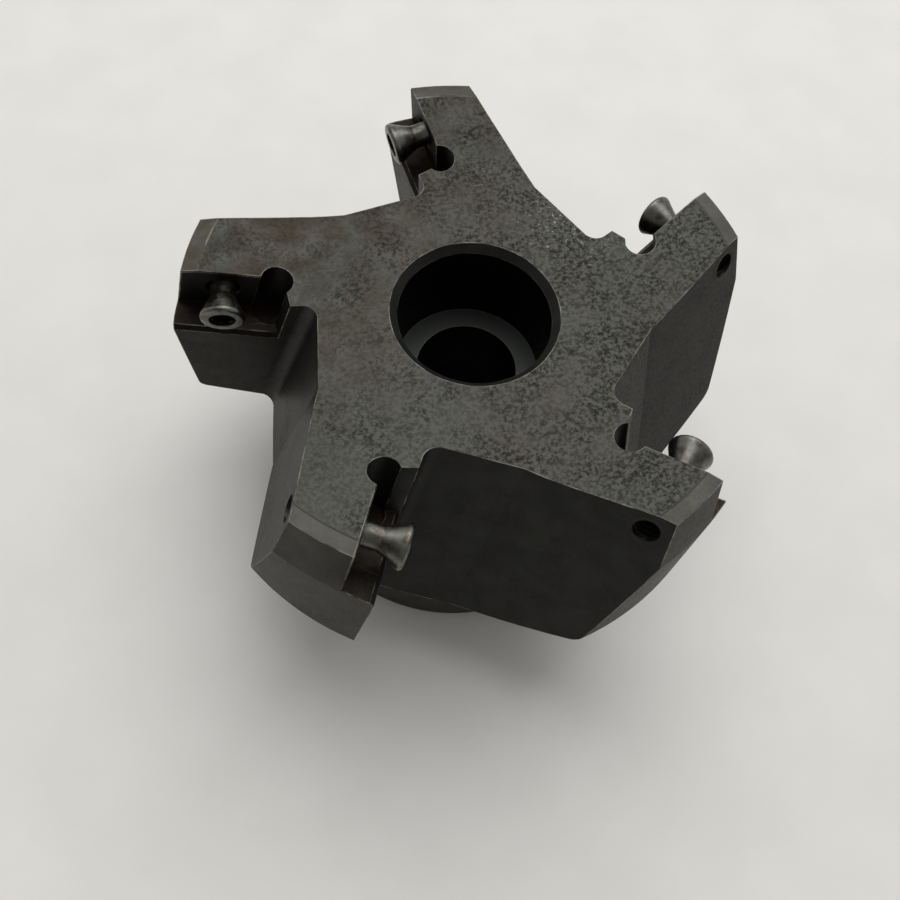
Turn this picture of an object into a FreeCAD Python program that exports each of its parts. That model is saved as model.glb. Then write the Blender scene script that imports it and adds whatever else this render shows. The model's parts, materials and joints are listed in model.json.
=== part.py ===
import FreeCAD, Part
import math
import os

os.makedirs("parts", exist_ok=True)

V = FreeCAD.Vector

# An indexable face mill for an arbor, with five arms and one insert pocket on each.
# It stands on its mounting face: the origin is on the axis at that face, +Z points at
# the cutting face. Lengths are in millimetres, angles in degrees.

# Cutter as a whole
arm_count = 5
first_arm_angle = 90.0
height = 50.0
body_diameter = 78.0

# Cutting face: a flat ring at the tips, a dished zone, and a flat hub face inside it
ring_width = 2.0
face_recess = 2.33
dish_diameter = 48.1
dish_blend_radius = 20.0

# Turned outside: flank cone, cylinder, sloping underside and hub
flank_inset = 1.9
flank_height = 7.8
arm_height = 27.7
underside_angle = 28.0
arm_edge_radius = 2.0
hub_diameter = 51.0
hub_fillet = 2.5
hub_chamfer = 0.8

# Arbor side
bore_diameter = 27.0
bore_depth = 25.0
bore_chamfer = 1.0
drive_slot_width = 12.4
drive_slot_depth = 7.0

# Seat of the arbor screw, open to the cutting face
counterbore_diameter = 20.0
counterbore_depth = 13.8
counterbore_chamfer = 1.0
screw_hole_diameter = 14.0

# Rake of the insert and of the face in front of it
radial_rake = 8.0
axial_rake = 8.8

# Chip gullet, drawn on the hub face beside its arm and swept down along the rake
gullet_corner_radius = 20.07
gullet_corner_offset = 1.67
gullet_floor_width = 11.9
gullet_floor_turn = 90.4
gullet_back_turn = 77.9
gullet_lean = 16.1
gullet_fillet = 1.8
gullet_reach = 45.0

# Insert pocket, measured from the screw hole in the seat
pocket_depth = 4.05
screw_hole_inset = 6.4
screw_hole_below_face = 4.3
lead_angle = 14.0
wall_distance = 7.05
wall_draft = 11.0
floor_distance = 4.7
floor_bevel = 0.6
seat_edge_break = 0.15
pocket_overrun = 1.5

# Drilled relief at the inner corner of the pocket
relief_diameter = 4.1
relief_out = 0.75
relief_forward = 0.3
relief_below_floor = 0.8

# Insert screw with a tapered head
thread_diameter = 4.0
thread_clearance = 0.05
hole_chamfer = 0.25
screw_length = 9.0
screw_stand_outs = [5.2, 4.7, 5.7, 5.2, 4.5]
head_diameter = 5.8
head_rim = 0.7
head_taper = 2.8
neck_diameter = 3.2
neck_length = 1.8
socket_points = 6
socket_diameter = 3.35
socket_lobe_depth = 0.42
socket_depth = 1.9

# How far cutting shapes run past the solid that they cut
overrun = 3.0
hole_reach = 20.0


def tan(angle):
    return math.tan(math.radians(angle))


def polar(length, angle):
    return V(length * math.cos(math.radians(angle)), length * math.sin(math.radians(angle)), 0)


def rounded_wire(corners):
    """Close a wire through (point, radius) corners, with an arc where the radius isn't 0."""
    ends = []
    edges = []
    for index, (point, radius) in enumerate(corners):
        back = corners[index - 1][0] - point
        ahead = corners[(index + 1) % len(corners)][0] - point
        back.normalize()
        ahead.normalize()
        half = back.getAngle(ahead) / 2
        if radius == 0:
            ends.append((point, point))
            continue
        reach = radius / math.tan(half)
        middle = back + ahead
        middle.normalize()
        crown = point + middle * (radius / math.sin(half) - radius)
        start = point + back * reach
        end = point + ahead * reach
        edges.append(Part.Arc(start, crown, end).toShape())
        ends.append((start, end))
    for index, (start, end) in enumerate(ends):
        before = ends[index - 1][1]
        if before.distanceToPoint(start) > 1e-6:
            edges.append(Part.makeLine(before, start))
    return Part.Wire(Part.__sortEdges__(edges))


def turned(corners):
    """Turn a closed profile of (radius, height, corner radius) about the axis."""
    wire = rounded_wire([(V(r, 0, z), fillet) for r, z, fillet in corners])
    return Part.Face(wire).revolve(V(0, 0, 0), V(0, 0, 1), 360)


def around(shape, index):
    """Turn a shape from the first arm's own frame, with X along the arm, to an arm's place."""
    copy = shape.copy()
    copy.rotate(V(0, 0, 0), V(0, 0, 1), first_arm_angle + index * 360.0 / arm_count)
    return copy


# The arm's own frame. The insert stands in a plane that both rakes turn: level and down
# lie in it, and forward is its normal, towards the open side of the gullet.
level = polar(1, radial_rake)
forward = V(-tan(radial_rake), 1, -tan(axial_rake)).normalize()
down = forward.cross(level)

# The pocket is turned in that plane by the lead angle
along_wall = down * math.cos(math.radians(lead_angle)) + level * math.sin(math.radians(lead_angle))
along_floor = level * math.cos(math.radians(lead_angle)) - down * math.sin(math.radians(lead_angle))

body_r = body_diameter / 2
hub_face = height - face_recess
gullet_corner = V(math.sqrt(gullet_corner_radius ** 2 - gullet_corner_offset ** 2),
                  gullet_corner_offset, hub_face)
front_distance = forward.dot(gullet_corner)


def seat_point():
    """Where the screw's axis meets the seat, at its set height and distance from the axis."""
    z = height - screw_hole_below_face
    across = polar(1, radial_rake + 90)
    offset = (front_distance - pocket_depth - forward.z * z) / forward.dot(across)
    along = math.sqrt((body_r - screw_hole_inset) ** 2 - offset ** 2)
    return level * along + across * offset + V(0, 0, z)


seat = seat_point()


def blank():
    """The turned body with its bore, counterbore and screw hole."""
    ring_r = body_r - flank_inset
    hub_r = hub_diameter / 2
    arm_bottom = height - arm_height
    underside = arm_bottom - (body_r - hub_r) * tan(underside_angle)
    mouth_r = counterbore_diameter / 2 + counterbore_chamfer
    shoulder = hub_face - counterbore_depth
    bore_r = bore_diameter / 2
    return turned([
        (bore_r + bore_chamfer, 0, 0),
        (hub_r - hub_chamfer, 0, 0),
        (hub_r, hub_chamfer, 0),
        (hub_r, underside, hub_fillet),
        (body_r, arm_bottom, arm_edge_radius),
        (body_r, height - flank_height, 0),
        (ring_r, height, 0),
        (ring_r - ring_width, height, 0),
        (dish_diameter / 2, hub_face, dish_blend_radius),
        (mouth_r, hub_face, 0),
        (counterbore_diameter / 2, hub_face - counterbore_chamfer, 0),
        (counterbore_diameter / 2, shoulder, 0),
        (screw_hole_diameter / 2, shoulder, 0),
        (screw_hole_diameter / 2, bore_depth, 0),
        (bore_r, bore_depth, 0),
        (bore_r, bore_chamfer, 0),
    ])


def gullet():
    """The chip space in front of an arm: front face, floor and the next arm's back."""
    floor_way = polar(1, radial_rake + gullet_floor_turn)
    back_way = polar(1, radial_rake + gullet_back_turn)
    bend = gullet_corner + floor_way * gullet_floor_width
    corners = [gullet_corner, gullet_corner + level * gullet_reach,
               bend + back_way * gullet_reach, bend]
    # The sweep leans outward, and stays in the plane of the front face
    sideways = tan(gullet_lean)
    sweep = V(sideways, tan(radial_rake) * sideways - tan(axial_rake), -1)
    start = sweep * -(face_recess + overrun)
    face = Part.Face(Part.makePolygon([corner + start for corner in corners + corners[:1]]))
    prism = face.extrude(sweep * (height + 2 * overrun))
    # The root between front face and floor is the edge through the gullet's corner
    root = [edge for edge in prism.Edges
            if all((v.Point - gullet_corner).cross(sweep).Length < 1e-6 for v in edge.Vertexes)]
    return prism.makeFillet(gullet_fillet, root)


def pocket():
    """The insert's pocket: seat, drafted inner wall and square floor."""
    # The tilted pocket runs out above the face at twice the seat's depth under it
    open_end = -2 * screw_hole_below_face

    def outline(rise):
        wall = -wall_distance - rise * tan(wall_draft)
        places = [(wall, floor_distance), (wall, open_end),
                  (gullet_reach, open_end), (gullet_reach, floor_distance)]
        points = [seat + along_floor * u + along_wall * v + forward * rise for u, v in places]
        return Part.makePolygon(points + points[:1])

    return Part.makeLoft([outline(0), outline(pocket_depth + pocket_overrun)], True, True)


def floor_edge_bevel():
    """A bevel along the front edge of the pocket's floor."""
    edge = seat + forward * pocket_depth + along_wall * floor_distance
    edge -= along_floor * (wall_distance + pocket_depth * tan(wall_draft))
    corners = [edge - forward * floor_bevel, edge + along_wall * floor_bevel,
               edge + (forward - along_wall) * floor_bevel]
    return Part.Face(Part.makePolygon(corners + corners[:1])).extrude(along_floor * gullet_reach)


def relief():
    """The drilled corner relief, along the pocket's inner wall."""
    centre = seat - along_floor * (wall_distance - relief_out) + forward * relief_forward
    above = screw_hole_below_face + overrun
    depth = above + floor_distance + relief_below_floor
    return Part.makeCylinder(relief_diameter / 2, depth, centre - along_wall * above, along_wall)


def tapped_hole():
    """The screw's hole, through to the arm's back, with a chamfered mouth in the seat."""
    hole_r = thread_diameter / 2 + thread_clearance
    hole = Part.makeCylinder(hole_r, hole_reach, seat, forward * -1)
    entry = Part.makeCone(hole_r + hole_chamfer, hole_r, hole_chamfer, seat, forward * -1)
    return hole.fuse(entry)


def drive_slot():
    slot = Part.makeBox(body_diameter, drive_slot_width, drive_slot_depth + overrun)
    slot.translate(V(-body_diameter / 2, -drive_slot_width / 2, -overrun))
    return slot


def open_seat_edges(body, outside):
    """The edges of the seats that lie on the turned outside."""
    found = []
    for index in range(arm_count):
        centre = around(Part.Vertex(seat), index).Point
        normal = around(Part.Vertex(forward), index).Point
        for edge in body.Edges:
            middle = edge.valueAt((edge.FirstParameter + edge.LastParameter) / 2)
            points = [middle] + [vertex.Point for vertex in edge.Vertexes]
            level_with_seat = all(abs((point - centre).dot(normal)) < 1e-5 for point in points)
            if level_with_seat and outside.distToShape(Part.Vertex(middle))[0] < 1e-5:
                found.append(edge)
    return found


def cutter_body():
    turned_blank = blank()
    cuts = [drive_slot()]
    for index in range(arm_count):
        for tool in (gullet(), pocket(), floor_edge_bevel(), relief(), tapped_hole()):
            cuts.append(around(tool, index))
    body = turned_blank.cut(cuts).removeSplitter()
    return body.makeChamfer(seat_edge_break, open_seat_edges(body, turned_blank.Shells[0]))


def socket(face_height):
    """A star socket with six points, for the key."""
    outer = socket_diameter / 2
    inner = outer - socket_lobe_depth
    corners = [polar(inner if index % 2 else outer, index * 180 / socket_points)
               for index in range(2 * socket_points)]
    recess = Part.Face(Part.makePolygon(corners + corners[:1])).extrude(V(0, 0, socket_depth))
    recess.translate(V(0, 0, face_height - socket_depth))
    return recess


def insert_screw(stand_out):
    """The screw on its own axis: Z=0 lies in the seat, and the head is above it."""
    head_r = head_diameter / 2
    neck_r = neck_diameter / 2
    thread_r = thread_diameter / 2
    rim_end = stand_out - head_rim
    taper_end = rim_end - head_taper
    neck_end = taper_end - neck_length
    tip = stand_out - screw_length
    return turned([
        (0, tip, 0),
        (thread_r, tip, 0),
        (thread_r, neck_end, 0),
        (neck_r, neck_end, 0),
        (neck_r, taper_end, 0),
        (head_r, rim_end, 0),
        (head_r, stand_out, 0),
        (0, stand_out, 0),
    ]).cut(socket(stand_out))


def placed_screw(index):
    screw = insert_screw(screw_stand_outs[index])
    turn = FreeCAD.Rotation(level, down, forward, "ZXY")
    screw.Placement = FreeCAD.Placement(seat, turn)
    return around(screw, index)


def write(name, shape):
    solids = shape.Solids
    shape = solids[0] if len(solids) == 1 else shape
    print(name, "solids", len(solids), "valid", shape.isValid(), "volume", round(shape.Volume, 1))
    shape.exportStep("parts/" + name + ".step")


def main():
    write("cutter_body", cutter_body())
    for index in range(arm_count):
        write("insert_screw_" + str(index + 1), placed_screw(index))


main()
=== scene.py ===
import json
import math
import bpy
from mathutils import Matrix, Vector


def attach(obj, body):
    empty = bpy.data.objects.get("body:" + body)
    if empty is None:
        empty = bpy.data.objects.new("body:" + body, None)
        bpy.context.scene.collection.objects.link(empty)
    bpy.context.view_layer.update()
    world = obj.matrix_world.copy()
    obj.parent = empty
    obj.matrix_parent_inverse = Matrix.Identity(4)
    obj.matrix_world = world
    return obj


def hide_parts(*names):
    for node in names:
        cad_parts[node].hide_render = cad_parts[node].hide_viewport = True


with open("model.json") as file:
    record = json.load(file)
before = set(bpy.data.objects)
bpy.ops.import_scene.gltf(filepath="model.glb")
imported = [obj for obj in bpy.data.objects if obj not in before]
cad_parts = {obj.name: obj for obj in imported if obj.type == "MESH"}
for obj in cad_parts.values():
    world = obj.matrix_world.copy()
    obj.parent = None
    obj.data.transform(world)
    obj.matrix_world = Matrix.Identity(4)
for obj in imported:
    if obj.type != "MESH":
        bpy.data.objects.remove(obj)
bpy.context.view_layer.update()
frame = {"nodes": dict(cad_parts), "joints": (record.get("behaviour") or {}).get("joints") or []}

MM = 0.001


def linear(code):
    """Turn an sRGB hex colour such as #8090a0 into linear RGBA."""
    channels = [int(code[start:start + 2], 16) / 255 for start in (1, 3, 5)]
    return [c / 12.92 if c <= 0.04045 else ((c + 0.055) / 1.055) ** 2.4 for c in channels] + [1.0]


def per(millimetres):
    """The texture scale whose pattern repeats about once in this many millimetres."""
    return 1 / (millimetres * MM)


def add_node(tree, kind, inputs=None, **settings):
    """Add a node, set its options, and set or link its inputs by name or number."""
    node = tree.nodes.new(kind)
    for name, value in settings.items():
        setattr(node, name, value)
    for name, value in (inputs or {}).items():
        if isinstance(value, bpy.types.NodeSocket):
            tree.links.new(value, node.inputs[name])
        else:
            node.inputs[name].default_value = value
    return node


def new_material(name):
    material = bpy.data.materials.new(name)
    material.use_nodes = True
    material.node_tree.nodes.clear()
    return material, material.node_tree


def patches(tree, place, size, low, high, **details):
    """Random patches of about this size in millimetres: 0 at the low level, 1 at the high."""
    noise = add_node(tree, "ShaderNodeTexNoise", {"Vector": place, "Scale": per(size), **details})
    return add_node(tree, "ShaderNodeMapRange", {"Value": noise.outputs["Fac"], "From Min": low,
                                                 "From Max": high}).outputs["Result"]


# Camera, at the place found from the photo's perspective
CAMERA_PLACE = Vector((-26.93, -65.65, 148.44)) * MM
CAMERA_RIGHT = Vector((0.96896, -0.23634, 0.07252))
CAMERA_UP = Vector((0.18071, 0.87732, 0.44458))
CAMERA_LENS = 38.24


def add_camera():
    data = bpy.data.cameras.new("camera")
    data.lens = CAMERA_LENS
    data.sensor_width = 36
    data.clip_start = 0.005
    camera = bpy.data.objects.new("camera", data)
    back = CAMERA_RIGHT.cross(CAMERA_UP)
    turn = Matrix((CAMERA_RIGHT, CAMERA_UP, back)).transposed().to_4x4()
    camera.matrix_world = Matrix.Translation(CAMERA_PLACE) @ turn
    bpy.context.scene.collection.objects.link(camera)
    bpy.context.scene.camera = camera


# Insert screw: sizes of the real screw's fine detail, in millimetres, from its head's flat face
ROUND_SIDES = 96
HEAD_R = 2.9
RIM_ROUND = 0.5
RIM_HEIGHT = 0.7
TAPER_END = 3.5
TAPER_HOLLOW = 1.12
NECK_R = 1.6
NECK_END = 5.3
SCREW_LENGTH = 9.0
THREAD_R = 2.0
THREAD_ROOT_R = 1.62
THREAD_PITCH = 0.7
THREAD_ROWS = 14
TIP_CHAMFER = 0.35
RIM_STEPS = 10
TAPER_INSET = 0.05
TAPER_STEPS = 14
SOCKET_MOUTH_R = 1.76
SOCKET_MOUTH_DEPTH = 0.3
SOCKET_CHAMFER = 0.08
SOCKET_SHELF = 0.1
SOCKET_STAR_R = 1.46
SOCKET_STAR_LOBE = 0.21
SOCKET_DEPTH = 1.7
SOCKET_CONE = 0.35
SCREW_SHARP_ANGLE = 32

# How far each screw's socket is turned, in degrees
SOCKET_TURNS = [12, 41, 25, 52, 3]

# The thread cut in the arm, which shows at the arm's back, past the screw's deepest place
HOLE_R = 2.04
HOLE_CREST_R = 1.66
HOLE_ROWS = 3 * THREAD_ROWS
HOLE_SHARP_ANGLE = 40
TAP_LEAD = 1.6
TIP_ROOM = 0.25
LIP_R = 2.4
LIP_STAND = 0.02
LIP_SHARE = 0.004

# The arm's back is looked for this far beside the hole, from this far behind the head's face
PROBE_BESIDE = 0.4
PROBE_BEHIND = 40


def ring(radius, z, lobe=0.0, turn=0.0):
    """A row of points round the screw's axis. A lobe makes it a six-lobed star, turned by an angle."""
    row = []
    for side in range(ROUND_SIDES):
        angle = 2 * math.pi * side / ROUND_SIDES
        r = radius + lobe * math.cos(6 * (angle - turn))
        row.append((r * math.cos(angle), r * math.sin(angle), z))
    return row


def thread_height(z, share):
    """How high the thread stands at a height and a share of the turn: 0 at the root, 1 at the
    crest. The crest is flat for an eighth of the pitch, and the flanks meet at 60 degrees."""
    phase = (z / THREAD_PITCH - share) % 1
    return min(1, max(0, 2.3 * abs(2 * phase - 1) - 0.55))


def skin(rows, looped=False):
    """Faces between rows of points, and between the last row and the first where it's looped."""
    sides = len(rows[0])
    faces = []
    for row in range(len(rows) if looped else len(rows) - 1):
        ahead_row = (row + 1) % len(rows)
        for side in range(sides):
            ahead = (side + 1) % sides
            faces.append((row * sides + side, ahead_row * sides + side,
                          ahead_row * sides + ahead, row * sides + ahead))
    return faces


def round_mesh(name, points, faces, sharp_angle):
    """A mesh in metres, shaded smooth with sharp edges where it turns by more than the angle."""
    mesh = bpy.data.meshes.new(name)
    mesh.from_pydata([Vector(point) * MM for point in points], [], faces)
    mesh.polygons.foreach_set("use_smooth", [True] * len(mesh.polygons))
    mesh.set_sharp_from_angle(angle=math.radians(sharp_angle))
    return mesh


def screw_thread_row(z):
    """A row across the screw's thread, which fades into the neck and into the tip's chamfer."""
    row = []
    for side in range(ROUND_SIDES):
        share = side / ROUND_SIDES
        fade = min(1, (-NECK_END - z) / THREAD_PITCH, (SCREW_LENGTH + z) / TIP_CHAMFER)
        height = min(thread_height(z, share), max(0, fade))
        r = THREAD_ROOT_R + (THREAD_R - THREAD_ROOT_R) * height
        row.append((r * math.cos(2 * math.pi * share), r * math.sin(2 * math.pi * share), z))
    return row


def head_rows(turn):
    """Rows from the bottom of the socket, turned by an angle, to the end of the rounded rim."""
    wall_r = SOCKET_MOUTH_R - SOCKET_CHAMFER
    rows = [
        ring(SOCKET_STAR_R, -SOCKET_DEPTH, SOCKET_STAR_LOBE, turn),
        ring(SOCKET_STAR_R, -SOCKET_MOUTH_DEPTH - SOCKET_SHELF, SOCKET_STAR_LOBE, turn),
        ring(wall_r, -SOCKET_MOUTH_DEPTH),
        ring(wall_r, -SOCKET_CHAMFER),
        ring(SOCKET_MOUTH_R, 0),
    ]
    for step in range(RIM_STEPS + 1):
        angle = math.radians(90 - step * 90 / RIM_STEPS)
        rows.append(ring(HEAD_R - RIM_ROUND + RIM_ROUND * math.cos(angle),
                         -RIM_ROUND + RIM_ROUND * math.sin(angle)))
    return rows


def taper_rows():
    """Rows down the hollow taper, from under the rim to the neck."""
    taper_r = HEAD_R - TAPER_INSET
    rows = [ring(taper_r, -RIM_HEIGHT)]
    for step in range(1, TAPER_STEPS + 1):
        share = step / TAPER_STEPS
        fall = 1 - (1 - share) ** TAPER_HOLLOW
        rows.append(ring(taper_r - (taper_r - NECK_R) * fall,
                         -RIM_HEIGHT - (TAPER_END - RIM_HEIGHT) * share))
    return rows


def thread_rows():
    """Rows along the helical thread, from the neck's end to the tip."""
    length = SCREW_LENGTH - NECK_END
    count = round(length / THREAD_PITCH * THREAD_ROWS)
    return [screw_thread_row(-NECK_END - length * step / count) for step in range(count + 1)]


def screw_mesh(turn):
    """The whole screw, closed by a cone at the bottom of the socket and a flat tip."""
    rows = head_rows(turn) + taper_rows() + thread_rows()
    points = [point for row in rows for point in row]
    faces = skin(rows)
    last = len(points) - ROUND_SIDES
    points += [(0, 0, -SOCKET_DEPTH - SOCKET_CONE), (0, 0, -SCREW_LENGTH)]
    for side in range(ROUND_SIDES):
        ahead = (side + 1) % ROUND_SIDES
        faces.append((len(points) - 2, side, ahead))
        faces.append((len(points) - 1, last + ahead, last + side))
    return round_mesh("insert_screw", points, faces, SCREW_SHARP_ANGLE)


def head_place(node, axis):
    """The frame of a screw: Z along its axis, X level, and the origin in the middle of its head's
    face."""
    side = Vector((0, 0, 1)).cross(axis).normalized()
    across = axis.cross(side)
    points = [vertex.co for vertex in node.data.vertices]
    place = axis * max(point.dot(axis) for point in points)
    for way in (side, across):
        extent = [point.dot(way) for point in points]
        place += way * ((min(extent) + max(extent)) / 2)
    basis = Matrix((side, across, axis)).transposed().to_4x4()
    return Matrix.Translation(place) @ basis


def hole_thread_row(start, back_height, depth, radius=None):
    """A row of the tapped hole at a depth from 0 at the arm's back to 1 at the start height. With
    no radius it follows the thread, which the tap's lead leaves at its drilled width at the back."""
    row = []
    for side in range(ROUND_SIDES):
        share = side / ROUND_SIDES
        x, y = math.cos(2 * math.pi * share), math.sin(2 * math.pi * share)
        reach = radius or HOLE_R
        end = back_height(reach * x, reach * y) - LIP_STAND
        z = end + (start - end) * depth
        r = radius
        if radius is None:
            lead = TAP_LEAD - (z - end) / THREAD_PITCH
            height = max(thread_height(z, share), min(1, lead))
            r = HOLE_R - (HOLE_R - HOLE_CREST_R) * height
        row.append((r * x, r * y, z))
    return row


def hole_thread_mesh(start, back_height):
    """The thread in the arm from a start height down to the arm's back, whose height under the
    screw's head the function back_height gives for a point across the hole. A thin lip lies on the
    back, over the edge of the wider plain hole."""
    rows = [hole_thread_row(start, back_height, 0, LIP_R)]
    rows += [hole_thread_row(start, back_height, step / HOLE_ROWS) for step in range(HOLE_ROWS + 1)]
    rows += [hole_thread_row(start, back_height, depth, HOLE_R) for depth in (1, LIP_SHARE)]
    points = [point for row in rows for point in row]
    return round_mesh("hole_thread", points, skin(rows, looped=True), HOLE_SHARP_ANGLE)


def add_hole_thread(number, place, joint, material):
    """Line the hole's far end with its thread, cut off at the back of the arm."""
    body = frame["nodes"]["cutter_body"]
    axis = place.to_3x3() @ Vector((0, 0, 1))
    beside = place @ Vector(((HOLE_R + PROBE_BESIDE) * MM, 0, 0))
    found, point, normal, _ = body.ray_cast(beside - axis * (PROBE_BEHIND * MM), axis)
    if not found:
        raise RuntimeError("no back found behind insert screw " + number)
    local = place.inverted()
    point = local @ point / MM
    normal = (local.to_3x3() @ normal).normalized()
    start = -SCREW_LENGTH + joint["range_m"][0] / MM - TIP_ROOM

    def back_height(x, y):
        return point.z - (normal.x * (x - point.x) + normal.y * (y - point.y)) / normal.z

    thread = bpy.data.objects.new("hole_thread_" + number, hole_thread_mesh(start, back_height))
    thread.data.transform(place)
    thread.data.materials.append(material)
    bpy.context.scene.collection.objects.link(thread)
    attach(thread, "cutter")


def add_screws(screw_material, hole_material):
    """A detailed screw in place of each plain one, and the thread in its hole."""
    for index, joint in enumerate(frame["joints"]):
        body = joint["child"]
        place = head_place(frame["nodes"][body], Vector(joint["axis"]).normalized())
        mesh = screw_mesh(math.radians(SOCKET_TURNS[index]))
        mesh.materials.append(screw_material)
        screw = bpy.data.objects.new(body + "_detailed", mesh)
        screw.matrix_world = place
        bpy.context.scene.collection.objects.link(screw)
        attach(screw, body)
        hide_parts(body)
        add_hole_thread(str(index + 1), place, joint, hole_material)


def screw_steel():
    """Bare alloy steel, turned and hardened: mid grey, scuffed along the taper and tarnished
    brown in places, which the eye reads from soft, broken highlights."""
    material, tree = new_material("turned_alloy_steel")
    place = add_node(tree, "ShaderNodeTexCoord").outputs["Object"]
    parts = add_node(tree, "ShaderNodeSeparateXYZ", {"Vector": place})
    flat = add_node(tree, "ShaderNodeCombineXYZ", {"X": parts.outputs["X"], "Y": parts.outputs["Y"]})
    radius = add_node(tree, "ShaderNodeVectorMath", {0: flat.outputs["Vector"]}, operation="LENGTH")
    tarnish = patches(tree, place, 1.5, 0.4, 0.62, Detail=5.0)
    scuffs = patches(tree, place, 0.35, 0.5, 0.62, Detail=4.0, Distortion=0.6)
    tint = add_node(tree, "ShaderNodeMix", {"Factor": tarnish, "A": linear("#71726c"),
                                            "B": linear("#514c45")}, data_type="RGBA")
    # Painted shade in the socket: near black inside the mouth and below the head's face
    in_mouth = add_node(tree, "ShaderNodeMapRange", {
        "Value": radius.outputs["Value"], "From Min": SOCKET_MOUTH_R * MM,
        "From Max": (SOCKET_MOUTH_R - 0.1) * MM})
    below = add_node(tree, "ShaderNodeMapRange", {"Value": parts.outputs["Z"], "From Min": -0.1 * MM,
                                                  "From Max": -0.28 * MM})
    above = add_node(tree, "ShaderNodeMath", {
        0: parts.outputs["Z"], 1: -(SOCKET_DEPTH + SOCKET_CONE) * MM}, operation="GREATER_THAN")
    depth = add_node(tree, "ShaderNodeMath", {0: below.outputs["Result"], 1: above.outputs[0]},
                     operation="MULTIPLY")
    socket_shade = add_node(tree, "ShaderNodeMath", {0: in_mouth.outputs["Result"], 1: depth.outputs[0]},
                    operation="MULTIPLY")
    colour = add_node(tree, "ShaderNodeMix", {"Factor": socket_shade.outputs[0], "A": tint.outputs["Result"],
                                              "B": linear("#161412")}, data_type="RGBA")
    # Turned lines, drawn 0.12 mm apart so that they show
    turning = add_node(tree, "ShaderNodeCombineXYZ", {"X": radius.outputs["Value"],
                                                      "Y": parts.outputs["Z"]})
    lines = add_node(tree, "ShaderNodeTexNoise", {"Vector": turning.outputs["Vector"],
                                                  "Scale": per(0.12), "Detail": 2.0})
    scuffed = add_node(tree, "ShaderNodeMapRange", {"Value": scuffs, "To Min": 0.3, "To Max": 0.46})
    line_bump = add_node(tree, "ShaderNodeBump", {"Height": lines.outputs["Fac"], "Strength": 0.3,
                                                  "Distance": 0.012 * MM})
    bump = add_node(tree, "ShaderNodeBump", {"Height": scuffs, "Strength": 0.25,
                                             "Distance": 0.012 * MM,
                                             "Normal": line_bump.outputs["Normal"]})
    shader = add_node(tree, "ShaderNodeBsdfPrincipled", {
        "Base Color": colour.outputs["Result"], "Roughness": scuffed.outputs["Result"],
        "Normal": bump.outputs["Normal"], "Metallic": 1.0})
    add_node(tree, "ShaderNodeOutputMaterial", {"Surface": shader.outputs["BSDF"]})
    return material


# Places on the cutter that the finish follows, in millimetres from its axis and mounting face
RING_HEIGHT = 50.0
RING_INNER_R = 35.1
SIDE_R = 37.0
UNDERSIDE_HEIGHT = 15.0
COUNTERBORE_R = 10.15
MOUTH_HEIGHT = 46.8
POCKET_TOP = 45.0
SEAT_UNDER_HEAD = 5.0
# The side whose arms get brown tarnish, deepened with painted shade
BROWN_AND_SHADED_SIDE = (-0.75, 0.66, 0)
EDGE_ROUND = 0.2
RUBBED_PLACE = Vector((16.2, 11.6, 47.7))
RUBBED_REACH = 8.5
CORNER_REACH = 2.2
FLECK_WIDTH = 0.5
FLECK_CLUSTER = 6
GRAIN_WIDTH = 0.2
RING_STEP = 0.09
RING_STEP_HALF_WIDTH = 0.12

# Tool lines run round the turned outside, drawn this far apart so that they show
TOOL_LINE_PITCH = 0.25


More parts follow.
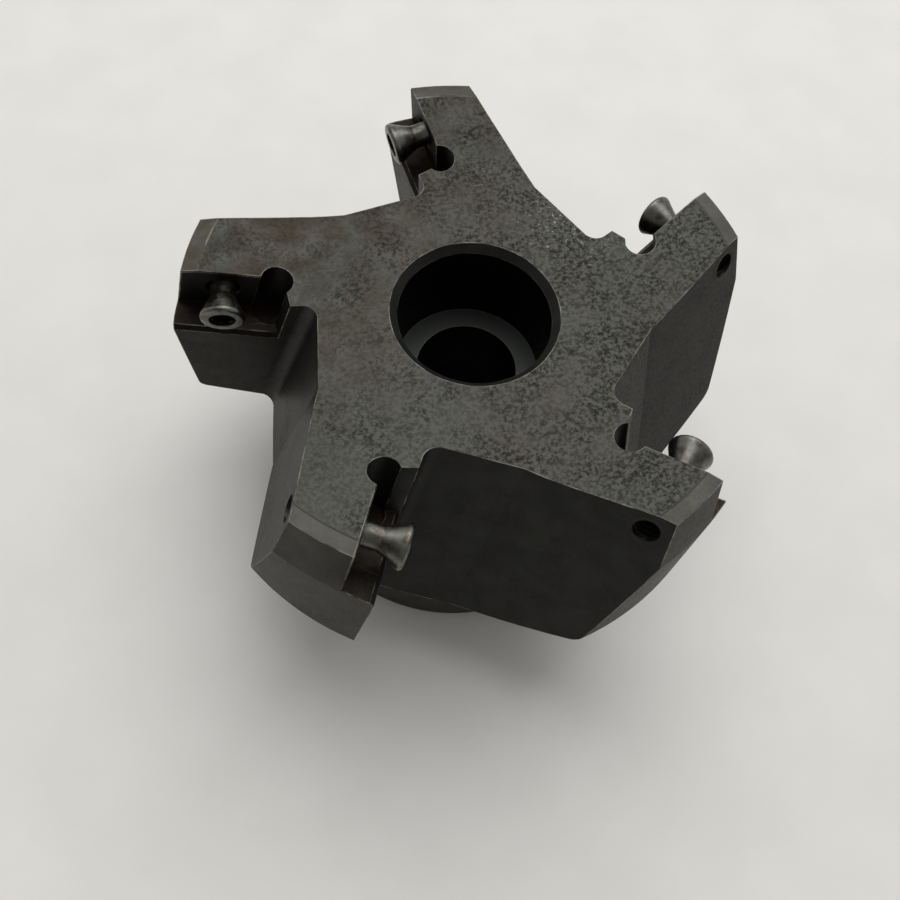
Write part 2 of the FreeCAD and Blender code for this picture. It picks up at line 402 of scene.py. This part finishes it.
def cutter_regions(tree, place, normal):
    """Masks that are 1 on faces that look up, on the outer ring, on the turned outside, deep in
    the bore, on the pocket floors and towards the side with brown tarnish and painted shade, with
    the distance from the axis, the height and the place along X."""
    parts = add_node(tree, "ShaderNodeSeparateXYZ", {"Vector": place})
    flat = add_node(tree, "ShaderNodeCombineXYZ", {"X": parts.outputs["X"], "Y": parts.outputs["Y"]})
    radius = add_node(tree, "ShaderNodeVectorMath", {0: flat.outputs["Vector"]}, operation="LENGTH")
    outward = add_node(tree, "ShaderNodeVectorMath", {0: flat.outputs["Vector"]},
                       operation="NORMALIZE")
    facing = add_node(tree, "ShaderNodeSeparateXYZ", {"Vector": normal})
    top = add_node(tree, "ShaderNodeMapRange", {"Value": facing.outputs["Z"], "From Min": 0.9,
                                                "From Max": 0.97})
    outer_ring = add_node(tree, "ShaderNodeMapRange", {"Value": parts.outputs["Z"],
                                                       "From Min": (RING_HEIGHT - 0.04) * MM,
                                                       "From Max": (RING_HEIGHT - 0.01) * MM})
    radial = add_node(tree, "ShaderNodeVectorMath", {0: normal, 1: outward.outputs["Vector"]},
                      operation="DOT_PRODUCT")
    faces_out = add_node(tree, "ShaderNodeMapRange", {"Value": radial.outputs["Value"],
                                                      "From Min": 0.85, "From Max": 0.93})
    rim = add_node(tree, "ShaderNodeMath", {0: radius.outputs["Value"], 1: (SIDE_R - 0.1) * MM},
                   operation="GREATER_THAN")
    hub = add_node(tree, "ShaderNodeMath", {0: parts.outputs["Z"], 1: UNDERSIDE_HEIGHT * MM},
                   operation="LESS_THAN")
    rim_or_hub = add_node(tree, "ShaderNodeMath", {0: rim.outputs[0], 1: hub.outputs[0]},
                          operation="MAXIMUM")
    turned = add_node(tree, "ShaderNodeMath", {0: faces_out.outputs["Result"],
                                               1: rim_or_hub.outputs[0]}, operation="MULTIPLY")
    near_axis = add_node(tree, "ShaderNodeMapRange", {"Value": radius.outputs["Value"],
                                                      "From Min": (COUNTERBORE_R + 0.2) * MM,
                                                      "From Max": COUNTERBORE_R * MM})
    deep = add_node(tree, "ShaderNodeMapRange", {"Value": parts.outputs["Z"],
                                                 "From Min": MOUTH_HEIGHT * MM,
                                                 "From Max": (MOUTH_HEIGHT - 0.3) * MM})
    bore = add_node(tree, "ShaderNodeMath", {0: near_axis.outputs["Result"],
                                             1: deep.outputs["Result"]}, operation="MULTIPLY")
    low = add_node(tree, "ShaderNodeMath", {0: parts.outputs["Z"], 1: POCKET_TOP * MM},
                   operation="LESS_THAN")
    pocket_floor = add_node(tree, "ShaderNodeMath", {0: low.outputs[0], 1: top.outputs["Result"]},
                            operation="MULTIPLY")
    towards = add_node(tree, "ShaderNodeVectorMath", {0: place, 1: BROWN_AND_SHADED_SIDE},
                       operation="DOT_PRODUCT")
    brown_and_shaded_side = add_node(tree, "ShaderNodeMapRange", {"Value": towards.outputs["Value"],
                                                       "From Min": 2 * MM, "From Max": 24 * MM})
    return {"top": top.outputs["Result"], "ring": outer_ring.outputs["Result"],
            "turned": turned.outputs[0], "bore": bore.outputs[0],
            "pocket_floor": pocket_floor.outputs[0], "brown_and_shaded_side": brown_and_shaded_side.outputs["Result"],
            "radius": radius.outputs["Value"], "height": parts.outputs["Z"],
            "x": parts.outputs["X"]}


def mottling(tree, place, x):
    """How far the oxide has gone in flecks about half a millimetre wide, in clusters that are
    strongest on the side towards +X."""
    flecks = patches(tree, place, FLECK_WIDTH, 0.56, 0.42, Detail=6.0, Roughness=0.68,
                     Distortion=0.4)
    lean = add_node(tree, "ShaderNodeMapRange", {"Value": x, "From Min": -25 * MM,
                                                 "From Max": 22 * MM, "To Min": -0.1, "To Max": 0.1})
    clouds = add_node(tree, "ShaderNodeTexNoise", {"Vector": place, "Scale": per(FLECK_CLUSTER),
                                                   "Detail": 3.0})
    level = add_node(tree, "ShaderNodeMath", {0: clouds.outputs["Fac"], 1: lean.outputs["Result"]})
    clusters = add_node(tree, "ShaderNodeMapRange", {"Value": level.outputs[0], "From Min": 0.38,
                                                     "From Max": 0.62, "To Min": 0.4, "To Max": 1.0})
    return add_node(tree, "ShaderNodeMath", {0: flecks, 1: clusters.outputs["Result"]},
                    operation="MULTIPLY").outputs[0]


def oxide_colour(tree, place, regions, flecks):
    """The black oxide: greenish grey on the cutting face, lighter on its ring, and near black on
    the milled faces of gullets and pockets."""
    cloud = patches(tree, place, 3.5, 0.35, 0.65, Detail=5.0)
    tint = patches(tree, place, 11, 0.4, 0.6, Detail=3.0)
    ground = add_node(tree, "ShaderNodeMix", {"Factor": tint, "A": linear("#474943"),
                                              "B": linear("#47453f")}, data_type="RGBA")
    worked = add_node(tree, "ShaderNodeMix", {"Factor": flecks, "A": ground.outputs["Result"],
                                              "B": linear("#20201e")}, data_type="RGBA")
    milled = add_node(tree, "ShaderNodeMix", {"Factor": cloud, "A": linear("#222222"),
                                              "B": linear("#2b2b29")}, data_type="RGBA")
    turned = add_node(tree, "ShaderNodeMix", {"Factor": cloud, "A": linear("#3a3835"),
                                              "B": linear("#464440")}, data_type="RGBA")
    ring_tone = add_node(tree, "ShaderNodeMix", {"Factor": cloud, "A": linear("#45453f"),
                                                 "B": linear("#4f4f49")}, data_type="RGBA")
    side = add_node(tree, "ShaderNodeMix", {"Factor": regions["turned"],
                                            "A": milled.outputs["Result"],
                                            "B": turned.outputs["Result"]}, data_type="RGBA")
    face = add_node(tree, "ShaderNodeMix", {"Factor": regions["top"], "A": side.outputs["Result"],
                                            "B": worked.outputs["Result"]}, data_type="RGBA")
    return add_node(tree, "ShaderNodeMix", {"Factor": regions["ring"], "A": face.outputs["Result"],
                                            "B": ring_tone.outputs["Result"]},
                    data_type="RGBA").outputs["Result"]


def near_seats(tree, place, seats):
    """1 on the seats of the five pockets, falling to 0 a little way outside them."""
    nearest = None
    for seat in seats:
        away = add_node(tree, "ShaderNodeVectorMath", {0: place, 1: seat}, operation="DISTANCE")
        distance = away.outputs["Value"]
        if nearest is not None:
            distance = add_node(tree, "ShaderNodeMath", {0: distance, 1: nearest},
                                operation="MINIMUM").outputs[0]
        nearest = distance
    return add_node(tree, "ShaderNodeMapRange", {"Value": nearest, "From Min": 7 * MM,
                                                 "From Max": 4 * MM}).outputs["Result"]


def tarnished(tree, place, colour, corners, regions, seats):
    """Brown tarnish, deepened with painted shade, on the two arms towards -X and +Y, painted shade
    near black on the seats and near black to dark brown in the corners, and rust with ochre grime
    on the pocket floors, in a tone dark enough to also paint their shade."""
    # Brown tarnish, multiplied dark enough that it also paints shade on the -X, +Y side
    reach = add_node(tree, "ShaderNodeMapRange", {"Value": regions["brown_and_shaded_side"], "To Min": 0.08,
                                                  "To Max": 0.9})
    stains = patches(tree, place, 4, 0.36, 0.6, Detail=5.0, Roughness=0.6)
    brown = add_node(tree, "ShaderNodeMath", {0: reach.outputs["Result"], 1: stains},
                     operation="MULTIPLY")
    stained_and_shaded = add_node(tree, "ShaderNodeMix", {"Factor": brown.outputs[0], "A": colour,
                                               "B": linear("#c6b49f")}, data_type="RGBA",
                       blend_type="MULTIPLY")
    # Painted shade: the seat walls behind the screw heads are painted near black
    seat = add_node(tree, "ShaderNodeMath", {0: near_seats(tree, place, seats), 1: regions["top"]},
                    operation="SUBTRACT", use_clamp=True)
    seat_shaded = add_node(tree, "ShaderNodeMix", {"Factor": seat.outputs[0],
                                               "A": stained_and_shaded.outputs["Result"],
                                               "B": linear("#100f0e")}, data_type="RGBA")
    # Painted shade in sheltered corners, near black to dark brown
    corner_shade_colour = add_node(tree, "ShaderNodeMix", {"Factor": stains, "A": linear("#12110f"),
                                           "B": linear("#30241b")}, data_type="RGBA")
    corner_shaded = add_node(tree, "ShaderNodeMix", {"Factor": corners, "A": seat_shaded.outputs["Result"],
                                             "B": corner_shade_colour.outputs["Result"]}, data_type="RGBA")
    # Rust and grime on the pocket floors, in a tone dark enough to also paint their shade
    grime = patches(tree, place, 2.2, 0.5, 0.62, Detail=6.0, Roughness=0.65)
    rust_and_shade = add_node(tree, "ShaderNodeMix", {"Factor": grime, "A": linear("#1e1614"),
                                            "B": linear("#33281c")}, data_type="RGBA")
    return add_node(tree, "ShaderNodeMix", {"Factor": regions["pocket_floor"],
                                            "A": corner_shaded.outputs["Result"],
                                            "B": rust_and_shade.outputs["Result"]},
                    data_type="RGBA").outputs["Result"]


def rubbed(tree, place, top):
    """Where the oxide is rubbed off the face: specks beside one gullet, and a few long scratches."""
    away = add_node(tree, "ShaderNodeVectorMath", {0: place, 1: RUBBED_PLACE * MM},
                    operation="DISTANCE")
    near = add_node(tree, "ShaderNodeMapRange", {"Value": away.outputs["Value"],
                                                 "From Min": RUBBED_REACH * MM, "From Max": 0.0,
                                                 "To Min": 0.0, "To Max": 0.9})
    specks = patches(tree, place, 0.45, 0.62, 0.68, Detail=3.0, Distortion=0.8)
    speckled = add_node(tree, "ShaderNodeMath", {0: specks, 1: near.outputs["Result"]},
                        operation="MULTIPLY")
    total = speckled.outputs[0]
    for turn, width in ((0.35, 0.26), (1.5, 0.2), (2.4, 0.24)):
        # A noise drawn out along one way gives thin lines a few millimetres long, kept here and there
        along = add_node(tree, "ShaderNodeMapping", {"Vector": place, "Rotation": (0, 0, turn),
                                                     "Location": (turn, 0, 0),
                                                     "Scale": (0.045, 1, 0.045)})
        lines = patches(tree, along.outputs["Vector"], width, 0.72, 0.82, Detail=1.0)
        spot = add_node(tree, "ShaderNodeVectorMath", {0: place, 1: (turn, turn, 0)}, operation="ADD")
        here = patches(tree, spot.outputs["Vector"], 9, 0.6, 0.72, Detail=1.0)
        kept = add_node(tree, "ShaderNodeMath", {0: lines, 1: here}, operation="MULTIPLY")
        faint = add_node(tree, "ShaderNodeMath", {0: kept.outputs[0], 1: 0.22}, operation="MULTIPLY")
        total = add_node(tree, "ShaderNodeMath", {0: total, 1: faint.outputs[0]},
                         operation="MAXIMUM").outputs[0]
    return add_node(tree, "ShaderNodeMath", {0: total, 1: top}, operation="MULTIPLY").outputs[0]


def seat_places():
    """The middle of each pocket's seat, behind its screw's head."""
    places = []
    for joint in frame["joints"]:
        place = head_place(frame["nodes"][joint["child"]], Vector(joint["axis"]).normalized())
        places.append(place @ Vector((0, 0, -SEAT_UNDER_HEAD * MM)))
    return places


def shaded_corners(tree, openness, top):
    """1 in sheltered corners, where shade is painted. Faces that look up are left out."""
    corners = add_node(tree, "ShaderNodeMapRange", {"Value": openness, "From Min": 0.72,
                                                    "From Max": 0.35})
    return add_node(tree, "ShaderNodeMath", {0: corners.outputs["Result"], 1: top},
                    operation="SUBTRACT", use_clamp=True).outputs[0]


def worn_edges(tree, rounded, openness, often):
    """How bare the open edges are, found where a rounded normal leaves the face's own."""
    geometry = add_node(tree, "ShaderNodeNewGeometry")
    match = add_node(tree, "ShaderNodeVectorMath", {0: rounded, 1: geometry.outputs["Normal"]},
                     operation="DOT_PRODUCT")
    edge = add_node(tree, "ShaderNodeMapRange", {"Value": match.outputs["Value"], "From Min": 0.997,
                                                 "From Max": 0.95})
    outer_edge = add_node(tree, "ShaderNodeMapRange", {"Value": openness, "From Min": 0.74,
                                                       "From Max": 0.88})
    open_edge = add_node(tree, "ShaderNodeMath", {0: edge.outputs["Result"],
                                                  1: outer_edge.outputs["Result"]},
                         operation="MULTIPLY")
    return add_node(tree, "ShaderNodeMath", {0: open_edge.outputs[0], 1: often},
                    operation="MULTIPLY").outputs[0]


def worn_ring_line(tree, regions, often):
    """The ring's inner edge, which chips have rubbed bright on the side towards -X and +Y."""
    from_line = add_node(tree, "ShaderNodeMath", {0: regions["radius"], 1: RING_INNER_R * MM},
                         operation="SUBTRACT")
    off_line = add_node(tree, "ShaderNodeMath", {0: from_line.outputs[0]}, operation="ABSOLUTE")
    line = add_node(tree, "ShaderNodeMapRange", {"Value": off_line.outputs[0],
                                                 "From Min": 0.16 * MM, "From Max": 0.06 * MM,
                                                 "To Max": 0.55})
    broken = add_node(tree, "ShaderNodeMath", {0: line.outputs["Result"], 1: often},
                      operation="MULTIPLY")
    side = add_node(tree, "ShaderNodeMath", {0: regions["brown_and_shaded_side"], 1: regions["top"]},
                    operation="MULTIPLY")
    return add_node(tree, "ShaderNodeMath", {0: broken.outputs[0], 1: side.outputs[0]},
                    operation="MULTIPLY").outputs[0]


def worn_places(tree, place, rounded, openness, regions):
    """Where the oxide is gone: knocked edges, the ring's inner edge and rubbed places."""
    knocks = patches(tree, place, 3, 0.42, 0.6, Detail=6.0, Roughness=0.65)
    often = add_node(tree, "ShaderNodeMapRange", {"Value": knocks, "To Min": 0.08,
                                                  "To Max": 1.0}).outputs["Result"]
    edges = worn_edges(tree, rounded, openness, often)
    line = worn_ring_line(tree, regions, often)
    edge_or_line = add_node(tree, "ShaderNodeMath", {0: edges, 1: line}, operation="MAXIMUM")
    return add_node(tree, "ShaderNodeMath", {0: edge_or_line.outputs[0],
                                             1: rubbed(tree, place, regions["top"])},
                    operation="MAXIMUM").outputs[0]


def bore_shade_colour(tree, colour, regions):
    """Painted shade and light: the bore's walls are painted near black as shade, and its shoulder,
    which looks up, a lighter grey as painted light.
    """
    inner = add_node(tree, "ShaderNodeMix", {"Factor": regions["top"], "A": linear("#0b0b0b"),
                                             "B": linear("#4e514e")}, data_type="RGBA")
    return add_node(tree, "ShaderNodeMix", {"Factor": regions["bore"], "A": colour,
                                            "B": inner.outputs["Result"]},
                    data_type="RGBA").outputs["Result"]


def cutter_relief(tree, place, rounded, regions, flecks):
    """The finish's relief: grain, sunk flecks, tool lines round the turned outside, and a crisp
    line where the ring was turned a trace deeper than the face inside it."""
    grain = add_node(tree, "ShaderNodeTexNoise", {"Vector": place, "Scale": per(GRAIN_WIDTH),
                                                  "Detail": 3.0})
    grain_bump = add_node(tree, "ShaderNodeBump", {"Height": grain.outputs["Fac"], "Strength": 0.2,
                                                   "Distance": 0.02 * MM, "Normal": rounded})
    fleck_bump = add_node(tree, "ShaderNodeBump", {"Height": flecks, "Strength": 0.3,
                                                   "Distance": -0.012 * MM,
                                                   "Normal": grain_bump.outputs["Normal"]})
    section = add_node(tree, "ShaderNodeCombineXYZ", {"X": regions["radius"], "Z": regions["height"]})
    tool_lines = add_node(tree, "ShaderNodeTexNoise", {"Vector": section.outputs["Vector"],
                                                       "Scale": per(TOOL_LINE_PITCH), "Detail": 2.0})
    line_strength = add_node(tree, "ShaderNodeMath", {0: regions["turned"], 1: 0.3},
                             operation="MULTIPLY")
    line_bump = add_node(tree, "ShaderNodeBump", {"Height": tool_lines.outputs["Fac"],
                                                  "Strength": line_strength.outputs[0],
                                                  "Distance": 0.03 * MM,
                                                  "Normal": fleck_bump.outputs["Normal"]})
    step = add_node(tree, "ShaderNodeMapRange", {
        "Value": regions["radius"], "From Min": (RING_INNER_R + RING_STEP_HALF_WIDTH) * MM,
        "From Max": (RING_INNER_R - RING_STEP_HALF_WIDTH) * MM})
    return add_node(tree, "ShaderNodeBump", {"Height": step.outputs["Result"],
                                             "Strength": regions["top"],
                                             "Distance": RING_STEP * MM,
                                             "Normal": line_bump.outputs["Normal"]}).outputs["Normal"]


def cutter_steel(name, edge_round):
    """Tool steel with an old black oxide finish: dark satin grey, mottled where the oxide has
    gone thin on the cutting face, brown with tarnish and darker with painted shade on two arms, and
    bare along edges that are worn round by a radius in millimetres."""
    material, tree = new_material(name)
    coordinates = add_node(tree, "ShaderNodeTexCoord")
    place = coordinates.outputs["Object"]
    regions = cutter_regions(tree, place, coordinates.outputs["Normal"])
    flecks = mottling(tree, place, regions["x"])
    corner = add_node(tree, "ShaderNodeAmbientOcclusion", {"Distance": CORNER_REACH * MM}, samples=6)
    openness = corner.outputs["AO"]
    bevel = add_node(tree, "ShaderNodeBevel", {"Radius": edge_round * MM}, samples=8)
    rounded = bevel.outputs["Normal"]

    oxide = tarnished(tree, place, oxide_colour(tree, place, regions, flecks),
                      shaded_corners(tree, openness, regions["top"]), regions, seat_places())
    bare = add_node(tree, "ShaderNodeMix", {
        "Factor": worn_places(tree, place, rounded, openness, regions), "A": oxide,
        "B": linear("#a5a299")}, data_type="RGBA")
    # Gloss follows the oxide: flecks are duller
    rough = add_node(tree, "ShaderNodeMapRange", {"Value": flecks, "To Min": 0.42, "To Max": 0.55})
    shader = add_node(tree, "ShaderNodeBsdfPrincipled", {
        "Base Color": bore_shade_colour(tree, bare.outputs["Result"], regions),
        "Roughness": rough.outputs["Result"],
        "Normal": cutter_relief(tree, place, rounded, regions, flecks),
        "Metallic": 0.5, "Specular IOR Level": 0.25, "Specular Tint": linear("#c8c7c3")})
    add_node(tree, "ShaderNodeOutputMaterial", {"Surface": shader.outputs["BSDF"]})
    return material


FLOOR_SIZE = 6.0


def add_floor():
    """A pale matt board, with the faint cloudiness of painted board."""
    half = FLOOR_SIZE / 2
    corners = [(-half, -half, 0), (half, -half, 0), (half, half, 0), (-half, half, 0)]
    mesh = bpy.data.meshes.new("floor")
    mesh.from_pydata(corners, [], [(0, 1, 2, 3)])
    floor = bpy.data.objects.new("floor", mesh)
    bpy.context.scene.collection.objects.link(floor)
    material, tree = new_material("painted_board")
    place = add_node(tree, "ShaderNodeTexCoord").outputs["Object"]
    cloud = patches(tree, place, 14, 0.35, 0.65, Detail=5.0)
    tint = add_node(tree, "ShaderNodeMix", {"Factor": cloud, "A": linear("#e6e5e1"),
                                            "B": linear("#ebe9e5")}, data_type="RGBA")
    shader = add_node(tree, "ShaderNodeBsdfPrincipled", {"Base Color": tint.outputs["Result"],
                                                         "Roughness": 0.7})
    add_node(tree, "ShaderNodeOutputMaterial", {"Surface": shader.outputs["BSDF"]})
    mesh.materials.append(material)


# The window stands where the cutting face mirrors it towards the camera
KEY_PLACE = Vector((0.15, 0.36, 0.76))
KEY_SIZE = 0.95
KEY_IRRADIANCE = 0.6
ROOM_DARK_SIDE = Vector((-0.42, -0.85, 0.3))
ROOM_DARK = 0.25
ROOM_LIGHT = 0.62


def add_light():
    """A soft window light from the far side, and a room that is darker on the viewer's side."""
    data = bpy.data.lights.new("window", "AREA")
    data.shape = "DISK"
    data.size = KEY_SIZE
    slant = KEY_PLACE.normalized().z
    data.energy = KEY_IRRADIANCE * math.pi ** 2 * KEY_PLACE.length_squared / slant
    lamp = bpy.data.objects.new("window", data)
    lamp.location = KEY_PLACE
    lamp.rotation_euler = KEY_PLACE.to_track_quat("Z", "Y").to_euler()
    bpy.context.scene.collection.objects.link(lamp)

    world = bpy.data.worlds.new("room")
    bpy.context.scene.world = world
    world.use_nodes = True
    tree = world.node_tree
    tree.nodes.clear()
    way = add_node(tree, "ShaderNodeTexCoord").outputs["Generated"]
    match = add_node(tree, "ShaderNodeVectorMath", {0: way, 1: ROOM_DARK_SIDE.normalized()},
                     operation="DOT_PRODUCT")
    shade = add_node(tree, "ShaderNodeMapRange", {"Value": match.outputs["Value"], "From Min": -0.3,
                                                  "From Max": 0.9, "To Min": ROOM_LIGHT,
                                                  "To Max": ROOM_DARK},
                     interpolation_type="SMOOTHSTEP")
    room = add_node(tree, "ShaderNodeBackground", {"Color": linear("#fdfcfa"),
                                                   "Strength": shade.outputs["Result"]})
    add_node(tree, "ShaderNodeOutputWorld", {"Surface": room.outputs["Background"]})


add_camera()
add_light()
add_floor()
oxide_steel = cutter_steel("blackened_tool_steel", EDGE_ROUND)
add_screws(screw_steel(), cutter_steel("blackened_tapped_steel", 0))
for slot in frame["nodes"]["cutter_body"].material_slots:
    slot.material = oxide_steel
bpy.context.scene.view_settings.view_transform = "Standard"
